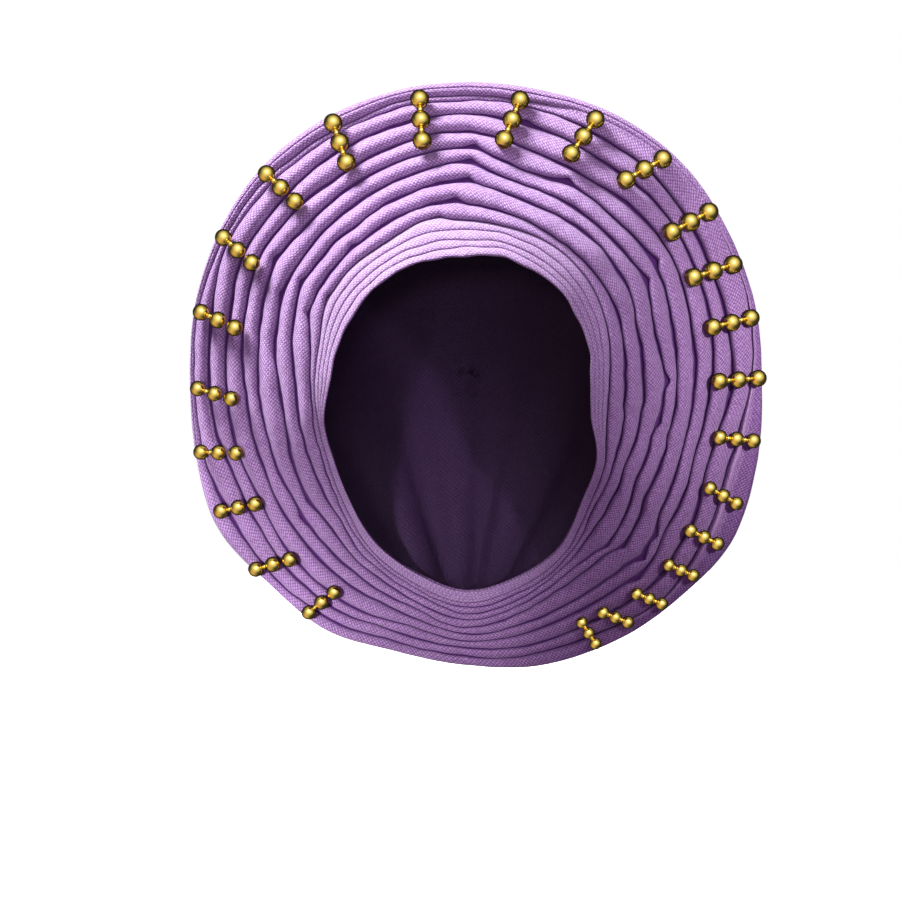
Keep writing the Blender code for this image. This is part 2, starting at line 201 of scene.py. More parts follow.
# How far a crease wanders, in millimetres: slowly, quickly, and where the cloth is crumpled.
# The rim and the innermost crease are held, and wander by this share of it.
SLOW_WANDER = 0.26
QUICK_WANDER = 0.12
CRUMPLED_WANDER = 0.50
HELD_SHARE = 0.25
# The two flanks of a kink in degrees, before it and past it: of its peak and of its opening
PEAK_FLANKS = (12.0, 4.5)
OPENING_FLANKS = (4.6, 2.4)
OPENING_POWERS = (1.8, 1.2)
# Lines along the hem: the place across the fold and its width there, as shares of the fold,
# and the depth in millimetres. The ridge stands up, and is wider before its top than past it.
SECOND_EDGE_AT = 0.44
SECOND_EDGE_WIDTH = 0.04
SECOND_EDGE_DEPTH = 1.1
THIRD_EDGE_AT = 0.85
THIRD_EDGE_WIDTH = 0.03
THIRD_EDGE_DEPTH = 0.8
RIDGE_AT = 0.86
RIDGE_WIDTHS = (0.15, 0.06)
RIDGE_HEIGHT = 1.1


def angled(degrees, corners, seed):
    """A broken line round the clock, about -1 to 1, with so many corners a turn."""
    chance = np.random.default_rng(seed)
    places = (np.arange(corners) + chance.uniform(-0.35, 0.35, corners)) * 360.0 / corners
    values = chance.uniform(-1.0, 1.0, corners)
    return np.interp(degrees, places, values, period=360.0)


def crumpled(degrees):
    """How crumpled the cloth is: most at the right, from three to five o'clock."""
    right = between(degrees, 102.0, 150.0, 26.0)
    left = between(degrees, 205.0, 245.0, 14.0)
    return np.maximum(right, 0.45 * left)


def hem_is_layered(degrees):
    """1 where a second edge of cloth shows along the hem: over the top and the left."""
    return between(degrees, 265.0, 395.0, 20.0)


def hem_is_piped(degrees):
    """1 where the hem lies flat with a ridge along its crease: down the right."""
    return between(degrees, 62.0, 143.0, 14.0)


def crease_line(name, degrees):
    """A crease's radius with its slow wander, its crumples and its peaks at the kinks."""
    radius = on_chart(name, degrees)
    order = FAN_CREASES.index(name)
    free = HELD_SHARE if name in ("rim", "c8") else 1.0
    radius = radius + SLOW_WANDER * free * MM * wander(degrees, 9, 24, seed=20 + order)
    radius = radius + QUICK_WANDER * free * MM * wander(degrees, 30, 70, seed=30 + order)
    shared = angled(degrees + 2.2 * order, 54, seed=7)
    own = angled(degrees, 47 + 3 * order, seed=50 + order)
    bends = CRUMPLED_WANDER * shared + CRUMPLED_WANDER * own
    radius = radius + free * MM * crumpled(degrees) * bends
    for crease, place, _, peak in KINKS:
        if crease == name:
            past = past_place(degrees, place)
            slope = np.where(past < 0.0, -past / PEAK_FLANKS[0], past / PEAK_FLANKS[1])
            radius = radius + peak * MM * np.clip(1.0 - slope, 0.0, None)
    return radius


def kink_gap(name, degrees):
    """How far the fold over a crease stands off the next pleat at its kinks: a pointed opening."""
    gap = 0.0 * degrees
    for crease, place, height, _ in KINKS:
        if crease == name:
            past = past_place(degrees, place)
            slope = np.where(past < 0.0, -past / OPENING_FLANKS[0], past / OPENING_FLANKS[1])
            share = np.clip(1.0 - slope, 0.0, 1.0)
            gap = gap + height * MM * share ** np.where(past < 0.0, *OPENING_POWERS)
    return gap


def crease_gaps(creases, degrees):
    """How wide each crease lies open, from narrow to wide along its way."""
    gaps = [0.0 * degrees]
    for order in range(1, len(creases) - 1):
        narrow = np.minimum(creases[order - 1] - creases[order], creases[order] - creases[order + 1])
        open_most = CREASE_GAP * (1.0 + 0.4 * crumpled(degrees))
        uneven = np.clip(1.0 + 0.45 * wander(degrees, 4, 26, seed=60 + order), 0.45, 1.5)
        gaps.append(np.minimum(open_most, CREASE_GAP_SHARE * narrow) * uneven)
    gaps.append(np.minimum(CREASE_GAP, CREASE_GAP_SHARE * (creases[-2] - creases[-1])))
    gaps[1] = gaps[1] * (1.0 - 0.55 * np.maximum(hem_is_layered(degrees), hem_is_piped(degrees)))
    return gaps


def cloth_object(name, grid, path, closed_cut, extra=None):
    """A mesh of equal cuts round the clock. path holds where the ends of each step lie on the flat."""
    cuts, across = grid.shape[:2]
    build = bmesh.new()
    flat = build.loops.layers.uv.new("cloth")
    # The crease attribute holds how deep each point lies in a crease: the cloth's material paints shade from
    # it, and a highlight from values below 0
    layer = build.verts.layers.float.new("crease")
    verts = [[build.verts.new(p) for p in row] for row in grid.tolist()]
    last = across if closed_cut else across - 1
    for k in range(cuts):
        following = (k + 1) % cuts
        for m in range(last):
            n = (m + 1) % across
            face = build.faces.new((verts[k][m], verts[k][n], verts[following][n], verts[following][m]))
            face.smooth = True
            corners = ((k, m, 0), (k, m, 1), (k + 1, m, 1), (k + 1, m, 0))
            for loop, (row, point, end) in zip(face.loops, corners):
                loop[flat].uv = path[row, point, end]
    if extra is not None:
        for row, values in zip(verts, extra.tolist()):
            for vert, value in zip(row, values):
                vert[layer] = value
    build.normal_update()
    if build.calc_volume(signed=True) < 0.0 and closed_cut:
        bmesh.ops.reverse_faces(build, faces=build.faces[:])
    mesh = bpy.data.meshes.new(name)
    build.to_mesh(mesh)
    build.free()
    piece = bpy.data.objects.new(name, mesh)
    bpy.context.collection.objects.link(piece)
    return piece


def flat_places(grid, starts):
    """Lengths on the flat cloth in metres: along each pleat, and across it from its start.

    starts lists the points of the cut where a new pleat begins."""
    cuts, across = grid.shape[:2]
    along = np.zeros((cuts + 1, across))
    steps = np.linalg.norm(np.roll(grid, -1, axis=0) - grid, axis=2)
    bounds = list(starts) + [across]
    for first, stop in zip(bounds, bounds[1:]):
        middle = (first + stop) // 2
        along[1:, first:stop] = np.cumsum(steps[:, middle])[:, None]
        along[:, first:stop] += 0.37 * first * MM
    widths = np.linalg.norm(np.roll(grid, -1, axis=1) - grid, axis=2)
    down = np.zeros((cuts, across, 2))
    for first, stop in zip(bounds, bounds[1:]):
        ends = np.cumsum(widths[:, first:stop], axis=1)
        centre = ends[:, [(stop - first) // 2]]
        down[:, first:stop, 1] = ends - centre
        down[:, first:stop, 0] = ends - widths[:, first:stop] - centre
    down = np.concatenate([down, down[:1]])
    return np.stack([np.stack([along, along], axis=2), down], axis=3)


def near(share, place, width):
    """1 at a place across the fold, falling softly to 0 on both sides."""
    return math.exp(-((share - place) / width) ** 2)


def fan_front(degrees, creases):
    """The pleats from the rim inwards: their points, how deep each lies in a crease, and where
    each pleat starts."""
    columns, hollow, starts = [], [], []
    gaps = crease_gaps(creases, degrees)
    layered, piped = hem_is_layered(degrees), hem_is_piped(degrees)
    doubled = between(degrees, 258.0, 328.0, 14.0)
    leaning = between(degrees, 205.0, 350.0, 30.0)
    closed = 0.82 * between(degrees, 24.0, 64.0, 14.0)
    crumple = 0.08 + 0.62 * crumpled(degrees)
    for order, (outer, inner) in enumerate(zip(creases, creases[1:])):
        width = outer - inner
        height = PLEAT_HEIGHT_RATIO * np.maximum(width - PLEAT_FLAT_WIDTH, 0.0)
        height = np.minimum(PLEAT_HEIGHT_MAX, height) * (1.0 + 0.06 * wander(degrees, 6, 20, seed=40 + order))
        start = outer - 0.5 * gaps[order]
        fold = inner + 0.5 * gaps[order + 1] + kink_gap(FAN_CREASES[order + 1], degrees)
        starts.append(len(columns))
        for share, rise in HEM_CUT if order < 2 else PLEAT_CUT:
            across = share - PLEAT_LEAN * leaning * share * (1.0 - share)
            radius = start - across * (start - fold)
            rise = rise * (1.0 - 0.5 * leaning * (max(share - 0.45, 0.0) / 0.55) ** 1.3)
            if (order == 0 and share > 0.5) or (order == 1 and share < 0.5):
                rise = np.maximum(rise, closed)
            panel = piped * min(max((0.84 - share) / 0.2, 0.0), 1.0)
            if order == 0:
                rise = rise * (1.0 - 0.5 * panel)
            depth = dish_depth(degrees, radius) + CREASE_SINK - rise * (height + CREASE_SINK)
            rough = angled(degrees + 7.0 * share, 90 + 5 * order, seed=70 + order) * crumple * MM * rise
            # How deep the point lies in its crease: the cloth is painted darker there as shade
            sunk = 1.0 - rise + 0.0 * degrees
            if order == 0:
                line = layered * near(share, SECOND_EDGE_AT, SECOND_EDGE_WIDTH)
                depth = depth + SECOND_EDGE_DEPTH * MM * line
                ridge = piped * near(share, RIDGE_AT, RIDGE_WIDTHS[0 if share < RIDGE_AT else 1])
                ridge = ridge * np.clip(0.75 + 0.4 * wander(degrees, 10, 26, seed=90), 0.35, 1.0)
                depth = depth - RIDGE_HEIGHT * MM * ridge
                # The second edge's groove and the flat panel are painted darker as shade, and the ridge
                # lighter as a painted highlight
                sunk = np.maximum(np.maximum(sunk, 0.95 * line), 0.66 * panel) - 1.3 * ridge
            if order == 1:
                line = doubled * near(share, THIRD_EDGE_AT, THIRD_EDGE_WIDTH)
                depth = depth + THIRD_EDGE_DEPTH * MM * line
                # The third edge's groove is painted darker as shade
                sunk = np.maximum(sunk, 0.85 * line)
            columns.append(on_clock(degrees, radius, depth - rough))
            hollow.append(sunk)
    return columns, hollow, starts


def fan_back(degrees, creases):
    """The plain back from the innermost crease out to the rim, in soft ribs between the creases."""
    stations = [creases[-1]]
    stations += [0.5 * (a + b) for a, b in zip(creases[:0:-1], creases[-2::-1])]
    stations.append(creases[0] - 0.4 * MM)
    columns, hollow = [], []
    for inner, outer in zip(stations, stations[1:]):
        width = outer - inner
        rise_most = np.minimum(BACK_RIB_HEIGHT, 0.35 * width)
        for share, rise in BACK_CUT:
            radius = inner + share * width
            depth = dish_depth(degrees, radius) + CLOTH_THICKNESS + rise * rise_most
            columns.append(on_clock(degrees, radius, depth))
            # Painted shade: the cloth is painted darker between the back's ribs
            hollow.append(0.6 * (1.0 - rise) + 0.0 * degrees)
    return columns, hollow


def pleated_fan():
    degrees = 180.0 + 360.0 * np.arange(FAN_CUTS) / FAN_CUTS
    creases = [crease_line(name, degrees) for name in FAN_CREASES]
    front, front_hollow, starts = fan_front(degrees, creases)
    back, back_hollow = fan_back(degrees, creases)
    starts.append(len(front))
    grid = np.stack(front + back, axis=1)
    path = flat_places(grid, starts)
    return cloth_object("fan_cloth", grid, path, True, np.stack(front_hollow + back_hollow, axis=1))


class Nodes:
    """Short words for wiring a node tree. A socket goes by its name, or by i and its number."""

    def __init__(self, tree):
        self.tree = tree
        tree.nodes.clear()

    def add(self, kind, settings=(), sockets=()):
        node = self.tree.nodes.new(kind)
        for name, value in dict(settings).items():
            setattr(node, name, value)
        for name, value in dict(sockets).items():
            self.plug(node, name, value)
        return node

    def plug(self, node, name, value):
        numbered = name[0] == "i" and name[1:].isdigit()
        socket = node.inputs[int(name[1:]) if numbered else name]
        if isinstance(value, bpy.types.Node):
            value = value.outputs[0]
        if isinstance(value, bpy.types.NodeSocket):
            self.tree.links.new(value, socket)
        else:
            socket.default_value = value

    def calc(self, operation, *values, kind="ShaderNodeMath"):
        sockets = {f"i{number}": value for number, value in enumerate(values)}
        return self.add(kind, {"operation": operation}, sockets)

    def vector(self, operation, *values):
        return self.calc(operation, *values, kind="ShaderNodeVectorMath")

    def scaled(self, value, share):
        return self.add("ShaderNodeVectorMath", {"operation": "SCALE"}, {"i0": value, "Scale": share})

    def blend(self, share, first, second):
        sockets = {"i0": share, "i6": first, "i7": second}
        return self.add("ShaderNodeMix", {"data_type": "RGBA"}, sockets).outputs[2]

    def noise(self, place, scale, detail=2.0, dimensions="3D"):
        sockets = {"Vector": place, "Scale": scale, "Detail": detail}
        return self.add("ShaderNodeTexNoise", {"noise_dimensions": dimensions}, sockets)

    def ramp(self, value, start=(0.0, 1.0), end=(0.0, 1.0), kind="LINEAR"):
        """A value carried from the range start to the range end."""
        sockets = {"i0": value, "From Min": start[0], "From Max": start[1]}
        sockets.update({"To Min": end[0], "To Max": end[1]})
        return self.add("ShaderNodeMapRange", {"interpolation_type": kind}, sockets)

    def surface(self, looks):
        """A Principled surface with these looks, wired to the material's output."""
        shader = self.add("ShaderNodeBsdfPrincipled", (), looks)
        self.add("ShaderNodeOutputMaterial", (), {"Surface": shader})


THREAD = 0.00092
CROSSING_THREAD = 1.3 * THREAD
THREAD_DRIFT = 0.0007
WEAVE_RELIEF = 0.00026
# Painted highlight: the pale lilac that the hem's ridge is painted towards, and how far at most
RIDGE_HIGHLIGHT = (0.92, 0.66, 1.0, 1.0)
RIDGE_HIGHLIGHT_MOST = 0.48
# Painted shade: the deep purple that the creases are painted towards
PAINTED_CREASE_SHADE = (0.105, 0.022, 0.185, 1.0)
SHEEN_TINT = (0.88, 0.78, 1.0, 1.0)


# How strongly shade is painted into the creases is given from 0, none, to 1, full.
def woven(name, over, under, crease_shade=1.0, sheen=0.25):
    """Two-tone basket weave: pale threads over, dark threads under, on the cloth's own lengths."""
    material = bpy.data.materials.new(name)
    material.use_nodes = True
    wire = Nodes(material.node_tree)
    flat = wire.add("ShaderNodeUVMap", {"uv_map": "cloth"})
    drift = wire.noise(flat, 260.0, dimensions="2D").outputs["Color"]
    moved = wire.vector("MULTIPLY_ADD", drift, (THREAD_DRIFT, THREAD_DRIFT, 0.0), flat)
    parts = wire.add("ShaderNodeSeparateXYZ", (), {"i0": moved})
    rows = []
    for kind, pitch in (("SUBTRACT", THREAD), ("ADD", CROSSING_THREAD)):
        slope = wire.calc(kind, parts.outputs[0], parts.outputs[1])
        rows.append(wire.calc("COSINE", wire.calc("MULTIPLY", slope, math.pi / pitch)))
    long_row = wire.calc("MULTIPLY", rows[0], 0.57)
    crossing = wire.calc("MULTIPLY_ADD", rows[1], -0.43, long_row)
    pebble = wire.calc("POWER", wire.calc("ABSOLUTE", crossing), 0.6)
    tone = wire.ramp(crossing, start=(-0.60, 0.45), kind="SMOOTHSTEP")
    cell = wire.vector("SNAP", moved, (THREAD, THREAD, THREAD))
    chance = wire.add("ShaderNodeTexWhiteNoise", {"noise_dimensions": "2D"}, {"Vector": cell})
    uneven = wire.calc("MULTIPLY_ADD", chance.outputs["Value"], 0.5, -0.25)
    mixed = wire.calc("MULTIPLY_ADD", tone, 0.85, uneven)
    clamped = wire.add("ShaderNodeClamp", (), {"i0": mixed})
    threads = wire.blend(clamped, (*under, 1.0), (*over, 1.0))

    place = wire.add("ShaderNodeTexCoord").outputs["Object"]
    shade = wire.ramp(wire.noise(place, 22.0, detail=4.0), end=(0.86, 1.14))
    gaps = wire.ramp(pebble, end=(0.62, 1.06))
    # Painted shade: the deeper a point lies in a crease, the more its colour is darkened towards deep purple
    crease = wire.add("ShaderNodeAttribute", {"attribute_name": "crease"}).outputs["Fac"]
    shadow = wire.ramp(crease, (0.44, 0.95), (0.0, crease_shade), "SMOOTHSTEP")
    # Painted highlight: below 0 the crease attribute lightens the colour along the hem's ridge
    ridge_lit = wire.ramp(crease, (-1.0, 0.0), (RIDGE_HIGHLIGHT_MOST, 0.0))
    lit = wire.scaled(threads, wire.calc("MULTIPLY", shade, gaps))
    highlighted = wire.blend(ridge_lit, lit, RIDGE_HIGHLIGHT)
    colour = wire.blend(shadow, highlighted, PAINTED_CREASE_SHADE)

    fibres = wire.noise(flat, 2600.0, dimensions="2D")
    height = wire.calc("MULTIPLY_ADD", fibres, 0.25, pebble)
    relief = {"Strength": 0.85, "Distance": WEAVE_RELIEF, "Height": height}
    wire.surface({
        "Base Color": colour,
        "Normal": wire.add("ShaderNodeBump", (), relief),
        "Roughness": 0.62,
        "Specular IOR Level": 0.35,
        "Sheen Weight": sheen,
        "Sheen Roughness": 0.45,
        "Sheen Tint": SHEEN_TINT,
    })
    return material


fan_cloth = pleated_fan()
lilac = woven("lilac_weave", over=(0.74, 0.52, 0.86), under=(0.30, 0.150, 0.39))
fan_cloth.data.materials.append(lilac)
fan_cloth.visible_glossy = False
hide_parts("pleated_fan")
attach(fan_cloth, "root")

# The face band
# The inner end of the same cloth, pressed in four fine folds along the hairline. Its last
# fold is turned in at the lip and caught down inside the crown.

BAND_CREASES = ("c8", "f1", "f2", "f3", "lip")
BAND_CUTS = 540
BAND_SET_BACK = 0.0006
# In millimetres: how far its folds wander, how low and high they stand, and how deep the band
# runs under the fan
BAND_WANDER = 0.22
BAND_RELIEF = (0.08, 1.5)
BAND_TUCK = 1.3
BAND_THICKNESS = 1.5
# How the lip turns in, in millimetres outwards and back, and shares of the way over the back
LIP_TURN = ((0.0, 0.10), (-0.25, 0.45), (-0.25, 0.9), (0.1, 1.35), (1.0, BAND_THICKNESS))
BAND_BACK_CUT = (0.3, 0.6, 0.9, 1.0)
FOLD_CUT = (
    (0.00, 0.00), (0.03, 0.40), (0.10, 0.68), (0.18, 0.82), (0.30, 0.93), (0.50, 1.00),
    (0.74, 0.93), (0.90, 0.72), (0.97, 0.42),
)


def face_band():
    degrees = 180.0 + 360.0 * np.arange(BAND_CUTS) / BAND_CUTS
    lines = [on_chart(name, degrees) for name in BAND_CREASES]
    lines[0] = crease_line("c8", degrees) + 0.5 * MM
    room = np.minimum(BAND_WANDER * MM, 0.012 * (lines[0] - lines[4]))
    for order in (1, 2, 3, 4):
        lines[order] = lines[order] + room * wander(degrees, 10, 30, seed=200 + order)
    columns, hollow, starts = [], [], []
    for order, (outer, inner) in enumerate(zip(lines, lines[1:])):
        width = outer - inner
        height = np.clip(0.42 * (width - 0.5 * MM), BAND_RELIEF[0] * MM, BAND_RELIEF[1] * MM)
        starts.append(len(columns))
        for share, rise in FOLD_CUT:
            radius = outer - share * width
            depth = dish_depth(degrees, radius) + BAND_SET_BACK - rise * height
            # How deep the point lies in its fold: the cloth is painted darker there as shade
            sunk = 1.0 - rise + 0.0 * degrees
            if order == 0:
                under_fold = np.exp(-((share * width) / (0.9 * MM)) ** 2)
                depth = depth + BAND_TUCK * MM * under_fold
                # Painted shade under the first fold, where it runs under the fan
                sunk = np.maximum(sunk, under_fold)
            rough = wander(degrees + 5.0 * share, 50, 120, seed=310 + order) * 0.08 * MM * rise
            columns.append(on_clock(degrees, radius, depth - rough))
            hollow.append(sunk)
    starts.append(len(columns))
    lip, first = lines[-1], lines[0]
    turned = [(lip + outward * MM, back) for outward, back in LIP_TURN]
    turned += [(lip + share * (first - lip), BAND_THICKNESS) for share in BAND_BACK_CUT]
    for radius, back in turned:
        columns.append(on_clock(degrees, radius, dish_depth(degrees, radius) + BAND_SET_BACK + back * MM))
        hollow.append(0.0 * degrees)
    grid = np.stack(columns, axis=1)
    path = flat_places(grid, starts)
    return cloth_object("band_cloth", grid, path, True, np.stack(hollow, axis=1))


band_cloth = face_band()
pale_lilac = woven("pale_lilac_weave", over=(0.80, 0.60, 0.90), under=(0.42, 0.25, 0.52))
band_cloth.data.materials.append(pale_lilac)
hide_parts("face_band")
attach(band_cloth, "root")

# The crown
# Plain cloth over the top and back of the head, drawn together at the nape. It is sewn to
# the lip in front and eased in soft gathers towards the tie.

CROWN_CUTS = 300
CROWN_STEPS = 56
CROWN_THICKNESS = 0.0020
CROWN_BACK = 0.100
CROWN_LAP = 0.0010
CROWN_TUCK = 1.3 * MM
CROWN_MIDDLE = np.array([-0.002, 0.01, -0.11])
GATHERS = 21.0
GATHER_HEIGHT = 3.6 * MM
GATHER_REACH = 0.15
# Radii and depths in millimetres that draw the crown from the lip to its back, from twelve to six
CROWN_LEAD = {
    "crown_lead": (100, 99.5, 98, 94.5, 90, 84.5, 80, 80, 84, 92, 100, 104, 105),
    "crown_lead_depth": (-62, -61.5, -60, -57, -52, -47.5, -42, -26, -2, 26, 54, 72, 81),
    "crown_tail": (137, 136.5, 134, 128, 120, 111, 105, 105, 108, 102, 92, 70, 50),
}
CHART.update({row: half + half[-2:0:-1] for row, half in CROWN_LEAD.items()})
TIE_CENTRE = np.array([-0.002, 0.0830, -0.2188])


def laid_from_tip(grid, degrees):
    """Places on the flat cloth in metres, measured out from the crown's back tip."""
    tip = CLOCK_CENTRE + np.array([0.0, CROWN_BACK, 0.0])
    ends = np.concatenate([grid, np.broadcast_to(tip, (len(grid), 1, 3))], axis=1)
    steps = np.linalg.norm(np.diff(ends, axis=1), axis=2)
    out = np.cumsum(steps[:, ::-1], axis=1)[:, ::-1]
    turn = np.radians(degrees)[:, None]
    flat = np.stack([out * np.sin(turn), out * np.cos(turn)], axis=2)
    flat = np.concatenate([flat, flat[:1]])
    following = np.concatenate([flat[:, 1:], flat[:, -1:]], axis=1)
    return np.stack([flat, following], axis=2)


def crown():
    degrees = 180.0 + 360.0 * np.arange(CROWN_CUTS) / CROWN_CUTS
    edge = on_chart("lip", degrees) + CROWN_LAP
    front = dish_depth(degrees, edge) + BAND_SET_BACK + CROWN_TUCK
    back = 0.0 * degrees + CROWN_BACK
    radii = (edge, on_chart("crown_lead", degrees), on_chart("crown_tail", degrees), 0.0 * degrees)
    depths = (front, on_chart("crown_lead_depth", degrees), back, back)
    columns = []
    for k in range(CROWN_STEPS):
        t = (k / CROWN_STEPS) ** 0.9
        shares = ((1 - t) ** 3, 3 * t * (1 - t) ** 2, 3 * t ** 2 * (1 - t), t ** 3)
        radius = sum(s * r for s, r in zip(shares, radii))
        depth = sum(s * d for s, d in zip(shares, depths))
        columns.append(on_clock(degrees, radius, depth))
    grid = np.stack(columns, axis=1)
    away = grid - TIE_CENTRE
    spread = np.degrees(np.arctan2(away[..., 0], away[..., 2] + 0.02))
    reach = np.linalg.norm(away, axis=2)
    folds = np.sin(np.radians(spread) * GATHERS + 1.4 * wander(spread, 2, 5, seed=401))
    folds = np.sign(folds) * np.abs(folds) ** 0.8
    t = np.arange(CROWN_STEPS) / CROWN_STEPS
    from_edge = np.clip(t / 0.16, 0.0, 1.0) ** 1.5
    strength = GATHER_HEIGHT * np.clip(reach / 0.05, 0.0, 1.0) * np.exp(-reach / GATHER_REACH) * from_edge
    outward = grid - CROWN_MIDDLE
    outward /= np.linalg.norm(outward, axis=2)[..., None]
    grid = grid + outward * (strength * (0.6 + folds))[..., None]
    path = laid_from_tip(grid, degrees)
    piece = cloth_object("crown_cloth", grid, path, False)
    build = bmesh.new()
    build.from_mesh(piece.data)
    rim = [e for e in build.edges if e.is_boundary]
    inner = [e for e in rim if (0.5 * (e.verts[0].co + e.verts[1].co)).y > 0.09]
    made = bmesh.ops.contextual_create(build, geom=inner)
    bmesh.ops.triangulate(build, faces=made["faces"])
    bmesh.ops.recalc_face_normals(build, faces=build.faces[:])
    top = max(build.faces, key=lambda f: f.calc_center_median().z)
    if top.normal.z < 0.0:
        bmesh.ops.reverse_faces(build, faces=build.faces[:])
    for face in build.faces:
        face.smooth = True
    build.to_mesh(piece.data)
    build.free()
    wall = piece.modifiers.new("Wall", "SOLIDIFY")
    wall.thickness = CROWN_THICKNESS
    wall.offset = -1.0
    # The inner shell takes the second material: the crown's inside is painted dark as shade
    wall.material_offset = 1
    return piece


crown_cloth = crown()
plain_lilac = woven("plain_lilac_weave", (0.60, 0.41, 0.72), (0.27, 0.135, 0.36), crease_shade=0.0)
# Painted shade: the crown's inside is painted nearly black, for the shade inside it
shaded_inside = woven("shaded_inside", (0.06, 0.03, 0.08), (0.03, 0.014, 0.045), crease_shade=0.0, sheen=0.0)
crown_cloth.data.materials.append(plain_lilac)
crown_cloth.data.materials.append(shaded_inside)
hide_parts("crown_cap")
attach(crown_cloth, "root")

# The tie at the nape
# The two gathered ends of the cloth, crossed and knotted: two soft rolls drawn in under a
# short wrap at the middle.

TIE_HALF = Vector((0.0240, 0.0125, 0.0172))
TIE_GIRTH = 0.09
WRAP_HALF_LENGTH = 0.0048


def nape_tie():
    around, along = 96, 64
    turns = math.tau * np.arange(around) / around
    build = bmesh.new()
    flat = build.loops.layers.uv.new("cloth")

    def shell(profile, ripple, half_length, count):
        rows = []
        for k in range(count + 1):
            u = -1.0 + 2.0 * k / count
            size, swell = profile(u), ripple(u, turns)
            x = half_length * u
            y = TIE_HALF.y * size * swell * np.cos(turns)
            z = TIE_HALF.z * size * swell * np.sin(turns)
            rows.append([build.verts.new(Vector((x, a, b)) + Vector(TIE_CENTRE)) for a, b in zip(y, z)])
        for k, (row, following) in enumerate(zip(rows, rows[1:])):
            for m in range(around):
                n = (m + 1) % around
                face = build.faces.new((row[m], row[n], following[n], following[m]))
                face.smooth = True
                places = ((k, m), (k, m + 1), (k + 1, m + 1), (k + 1, m))
                for loop, (a, b) in zip(face.loops, places):
                    loop[flat].uv = (2.0 * half_length * a / count, TIE_GIRTH * b / around)
        for row in (rows[0], rows[-1]):
            face = build.faces.new(row)
            face.smooth = True

    def roll(u):
        waist = 1.0 - 0.42 * math.exp(-(u / 0.30) ** 2)
        end = math.sqrt(max(1.0 - abs(u) ** 3.0, 0.0))
        return max(waist * end, 0.03)

    def gathers(u, turns):
        pull = 0.35 + 0.65 * math.exp(-(u / 0.45) ** 2)
        wave = np.cos(9.0 * turns + 1.3 * u) + 0.6 * np.cos(14.0 * turns - 2.1 * u + 1.0)
        return 1.0 + 0.07 * pull * wave

    def wrap(u):
        return 0.74 * (1.0 - 0.22 * abs(u) ** 3)

    def wrapped(u, turns):
        return 1.0 + 0.035 * math.cos(9.0 * u + 0.5) + 0.02 * np.cos(3.0 * turns + 2.0 * u)

    shell(roll, gathers, TIE_HALF.x, along)
    shell(wrap, wrapped, WRAP_HALF_LENGTH, 24)
    bmesh.ops.recalc_face_normals(build, faces=build.faces[:])
    mesh = bpy.data.meshes.new("tie_cloth")
    build.to_mesh(mesh)
    build.free()
    piece = bpy.data.objects.new("tie_cloth", mesh)
    bpy.context.collection.objects.link(piece)
    return piece


tie_cloth = nape_tie()
tie_cloth.data.materials.append(plain_lilac)
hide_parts("nape_tie")
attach(tie_cloth, "root")

# The bead bars
# Twenty-four short bars of three polished gold beads, strung on a thread that is sewn down
# over the outer pleats. On the wearer's right the inner bead is stitched on its own.

BARS = 24
BARS_WITH_A_LONE_BEAD = range(15, 23)
BEADS_ON_A_BAR = 3
COLLAR_SHARE = 0.33
COLLAR_STRETCH = 1.25
DEEP_GOLD = (0.80, 0.56, 0.10, 1.0)
PALE_GOLD = (0.96, 0.74, 0.22, 1.0)
GOLD_EDGE = (0.08, 0.06, 0.02, 1.0)
SCUFF_RELIEF = 0.0002


def gold():
    material = bpy.data.materials.new("polished_gold")
    material.use_nodes = True
    wire = Nodes(material.node_tree)
    place = wire.add("ShaderNodeTexCoord").outputs["Object"]
    wear = wire.noise(place, 620.0, detail=3.0)
    relief = {"Strength": 0.32, "Distance": SCUFF_RELIEF, "Height": wear}
    wire.surface({
        "Base Color": wire.blend(wear, DEEP_GOLD, PALE_GOLD),
        "Roughness": wire.ramp(wear, end=(0.11, 0.22)),
        "Normal": wire.add("ShaderNodeBump", (), relief),
        "Metallic": 1.0,
        "Specular Tint": GOLD_EDGE,
    })
    return material


